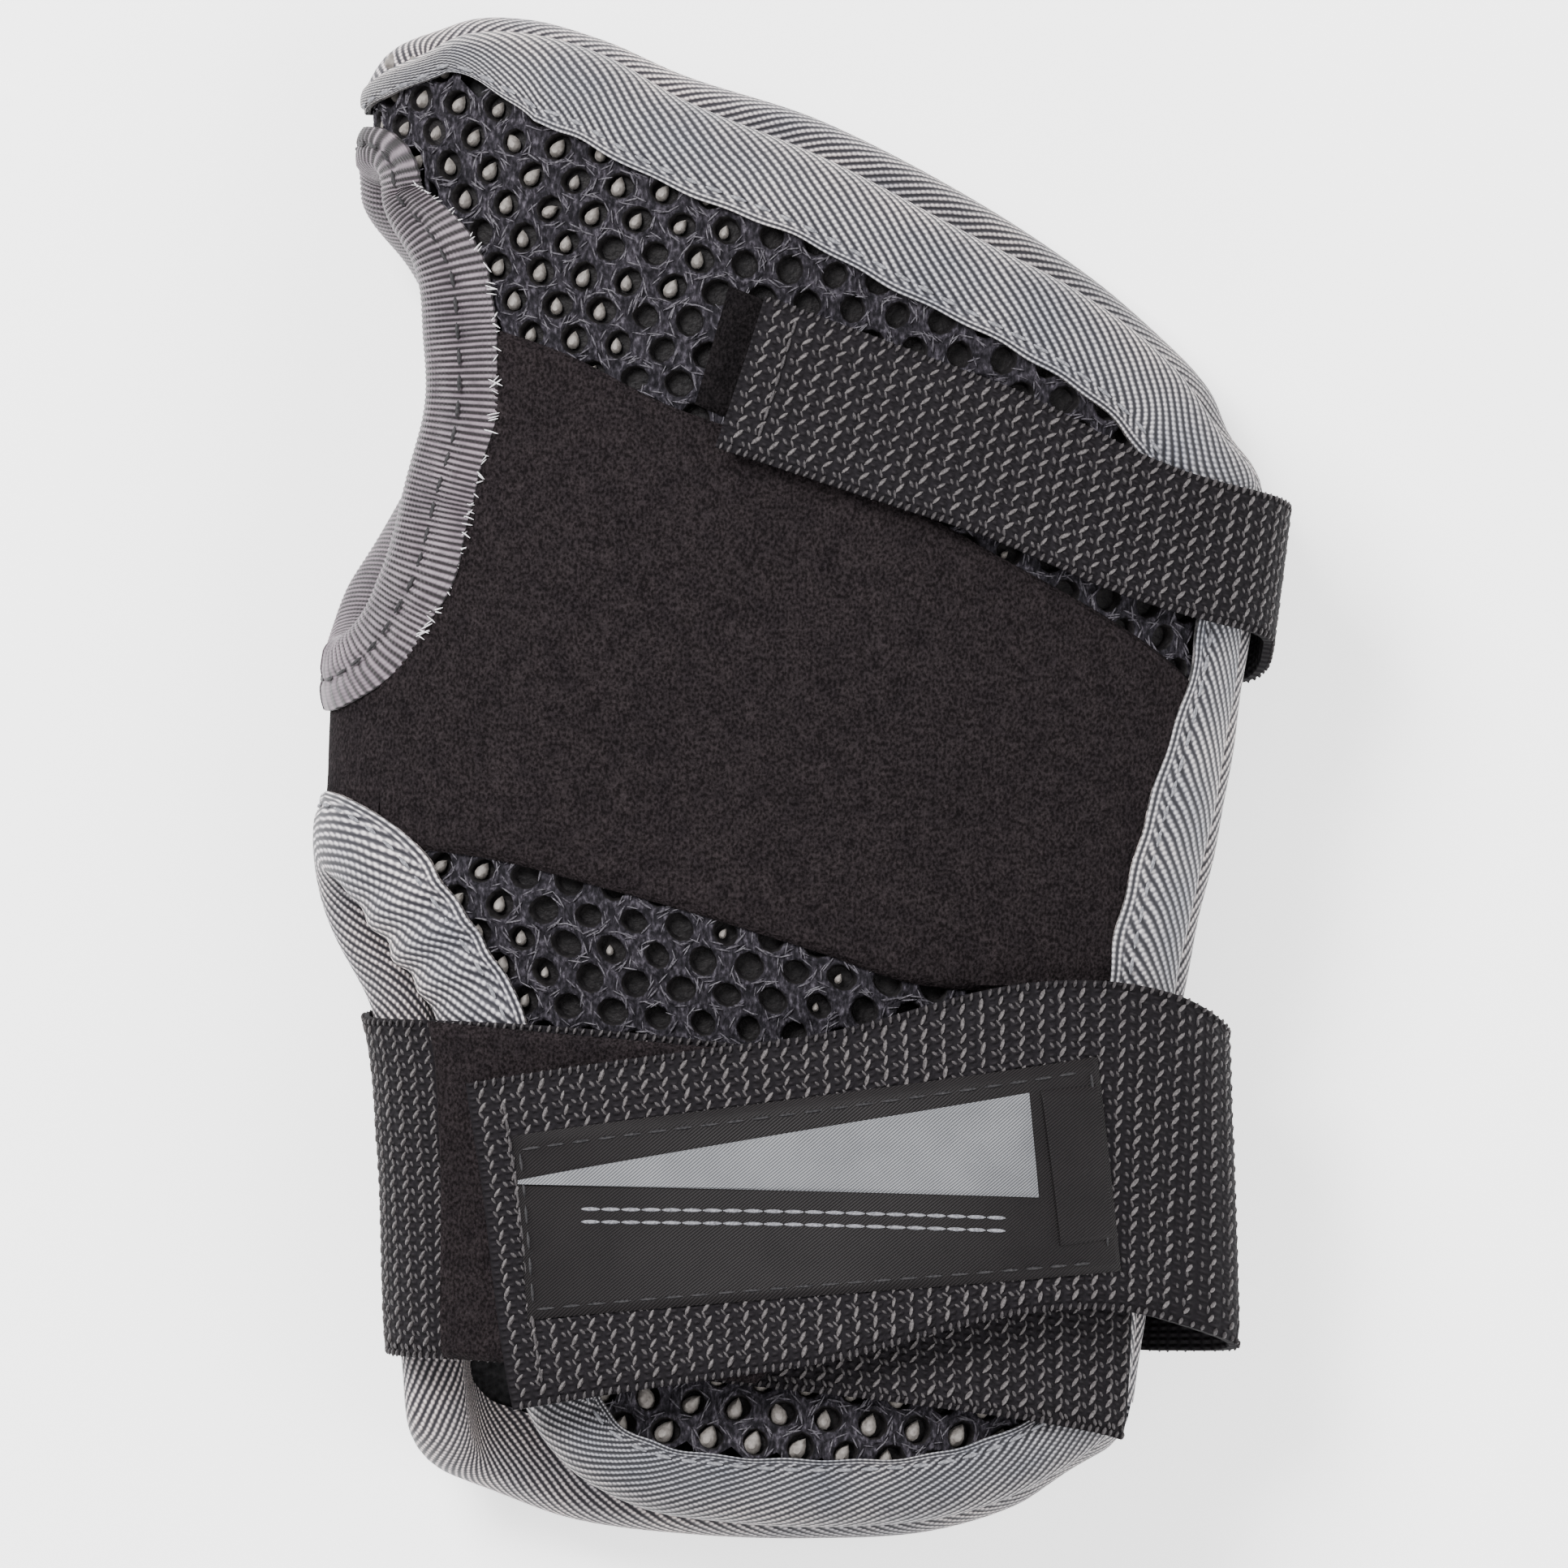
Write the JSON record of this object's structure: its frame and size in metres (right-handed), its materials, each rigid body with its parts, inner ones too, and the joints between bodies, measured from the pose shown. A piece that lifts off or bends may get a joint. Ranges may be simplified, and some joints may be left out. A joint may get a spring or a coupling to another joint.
{
  "type": "wrist guard, right hand, soft sleeve with palm splint",
  "caption": "Right-hand wrist guard with a grey-bound black mesh sleeve, a palm splint, a thumb hole and two hook-and-loop straps that open.",
  "frame": {"origin": "centre of the guard's outline in plan, on the flat underside of the palm splint, the guard lying palm down", "axes": "+Y towards the fingers, +X towards the little finger, -X towards the thumb, +Z out of the back of the hand"},
  "size_m": [0.1198, 0.188, 0.0503],
  "materials": {
    "air_mesh": "matte",
    "lining": "matte",
    "stay_aluminium": "satin",
    "loop_fabric": "matte",
    "palm_fabric": "matte",
    "foam": "matte",
    "splint_plastic": "satin",
    "rivet_steel": "satin",
    "thumb_tape": "satin",
    "binding_tape": "satin",
    "hook_tape": "matte",
    "label_satin": "satin",
    "label_print": "satin",
    "webbing": "matte"
  },
  "bodies": {
    "guard_body": {"dorsal_mesh_panel": "air_mesh", "dorsal_lining": "lining", "dorsal_stay": "stay_aluminium", "stay_pocket": "lining", "dorsal_loop_panel": "loop_fabric", "palm_panel": "palm_fabric", "palm_foam": "foam", "palm_lining": "lining", "palm_splint": "splint_plastic", "splint_rivet_1": "rivet_steel", "splint_rivet_2": "rivet_steel", "splint_rivet_3": "rivet_steel", "splint_rivet_4": "rivet_steel", "rivet_washer_1": "rivet_steel", "rivet_washer_2": "rivet_steel", "rivet_washer_3": "rivet_steel", "rivet_washer_4": "rivet_steel", "thumb_bridge": "loop_fabric", "index_bridge": "air_mesh", "cuff_binding_dorsal": "binding_tape", "cuff_binding_palm": "binding_tape", "finger_binding_dorsal": "binding_tape", "finger_binding_palm": "binding_tape", "ulnar_binding_dorsal": "binding_tape", "ulnar_binding_palm": "binding_tape", "thumb_binding_dorsal": "thumb_tape", "thumb_binding_palm": "thumb_tape", "notch_binding": "binding_tape", "wrist_band_webbing": "webbing", "wrist_band_loop_tape": "loop_fabric", "wrist_band_anchor": "webbing", "hand_strap_anchor": "webbing", "wrist_strap_anchor": "webbing"},
    "hand_wrap": {"hand_strap_wrap": "webbing"},
    "hand_tab": {"hand_strap_tab": "webbing", "hand_strap_hook": "hook_tape"},
    "wrist_wrap": {"wrist_strap_wrap": "webbing"},
    "wrist_tab": {"wrist_strap_tab": "webbing", "wrist_strap_hook": "hook_tape", "label_patch": "label_satin", "label_wedge": "label_print", "label_end_tab": "label_satin"}
  },
  "joints": [
    {"name": "hand_strap_swing", "type": "hinge", "parent": "guard_body", "child": "hand_wrap", "pos_m": [0.05525, 0.01847, 0.00853], "axis": [0.1269, 0.9919, -0.0012], "range_deg": [0, 75]},
    {"name": "hand_strap_peel", "type": "hinge", "parent": "hand_wrap", "child": "hand_tab", "pos_m": [0.05014, 0.02868, 0.03725], "axis": [0.0827, 0.9964, 0.0177], "range_deg": [0, 100]},
    {"name": "wrist_strap_swing", "type": "hinge", "parent": "guard_body", "child": "wrist_wrap", "pos_m": [0.04719, -0.05149, 0.00731], "axis": [0.1125, 0.9936, -0.0079], "range_deg": [0, 75]},
    {"name": "wrist_strap_peel", "type": "hinge", "parent": "wrist_wrap", "child": "wrist_tab", "pos_m": [0.04453, -0.04575, 0.03572], "axis": [0.0537, 0.9966, 0.0618], "range_deg": [0, 100]}
  ]
}
